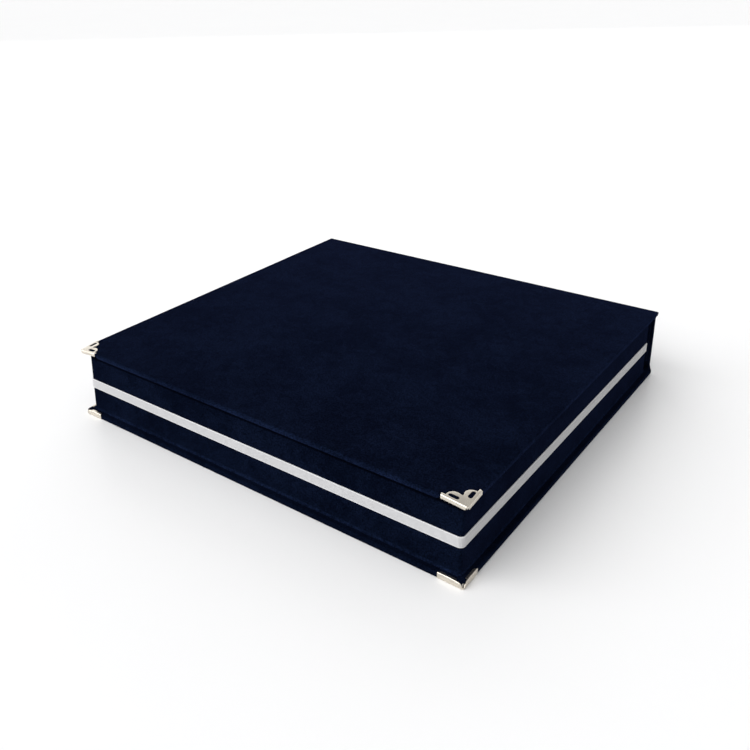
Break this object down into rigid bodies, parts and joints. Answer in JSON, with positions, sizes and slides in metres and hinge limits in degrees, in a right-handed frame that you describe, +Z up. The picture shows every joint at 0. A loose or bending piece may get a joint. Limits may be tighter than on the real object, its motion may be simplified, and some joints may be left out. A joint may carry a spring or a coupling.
{
  "type": "coin display case",
  "caption": "Book-style velvet case for coins: a lid and free spine on cloth hinges over a walled tray with square compartments, metal corner protectors and a ribbon band.",
  "frame": {"origin": "centre of the closed case's footprint, on the surface that it rests on", "axes": "+X to the right along the opening edge, +Y back towards the spine, +Z up"},
  "size_m": [0.29, 0.29, 0.05],
  "materials": {
    "cover_velvet": "short-pile navy velvet with a soft mottled nap",
    "lining_velvet": "short-pile navy velvet lining",
    "ribbon": "silver-white ribbed ribbon with plain selvedges",
    "satin": "padded pale satin",
    "nickel": "bright nickel plate, slightly warm",
    "greyboard": "plain grey bookbinding board",
    "foam": "fine closed-cell foam",
    "magnet": "plated bar magnet",
    "steel": "plain steel strip"
  },
  "bodies": {
    "base": {"bottom_board": "greyboard", "bottom_velvet": "cover_velvet", "floor_lining": "lining_velvet", "front_wall_board": "greyboard", "rear_wall_board": "greyboard", "left_wall_board": "greyboard", "right_wall_board": "greyboard", "wall_velvet": "cover_velvet", "ribbon_band": "ribbon", "bottom_corner_left": "nickel", "bottom_corner_right": "nickel", "magnet_left": "magnet", "magnet_right": "magnet", "foam_plinth": "foam", "tray_floor": "greyboard", "tray_frame_front": "lining_velvet", "tray_frame_rear": "lining_velvet", "tray_frame_left": "lining_velvet", "tray_frame_right": "lining_velvet", "coin_pads": "lining_velvet", "lift_tab_left": "ribbon", "lift_tab_right": "ribbon", "row_divider_1": "lining_velvet", "row_divider_2": "lining_velvet", "row_divider_3": "lining_velvet", "row_divider_4": "lining_velvet", "column_divider_1": "lining_velvet", "column_divider_2": "lining_velvet", "column_divider_3": "lining_velvet", "column_divider_4": "lining_velvet"},
    "spine": {"lower_hinge_cloth": "cover_velvet", "upper_hinge_cloth": "cover_velvet", "spine_board": "greyboard", "spine_velvet": "cover_velvet", "spine_lining": "lining_velvet"},
    "lid": {"lid_board": "greyboard", "lid_velvet": "cover_velvet", "lid_padded_lining": "satin", "top_corner_left": "nickel", "top_corner_right": "nickel", "keeper_left": "steel", "keeper_right": "steel"}
  },
  "joints": [
    {"name": "spine_hinge", "type": "hinge", "parent": "base", "child": "spine", "pos_m": [0, 0.141, 0.004], "axis": [-1, 0, 0], "range_deg": [0, 90]},
    {"name": "lid_hinge", "type": "hinge", "parent": "spine", "child": "lid", "pos_m": [0, 0.141, 0.046], "axis": [-1, 0, 0], "range_deg": [0, 90]}
  ]
}
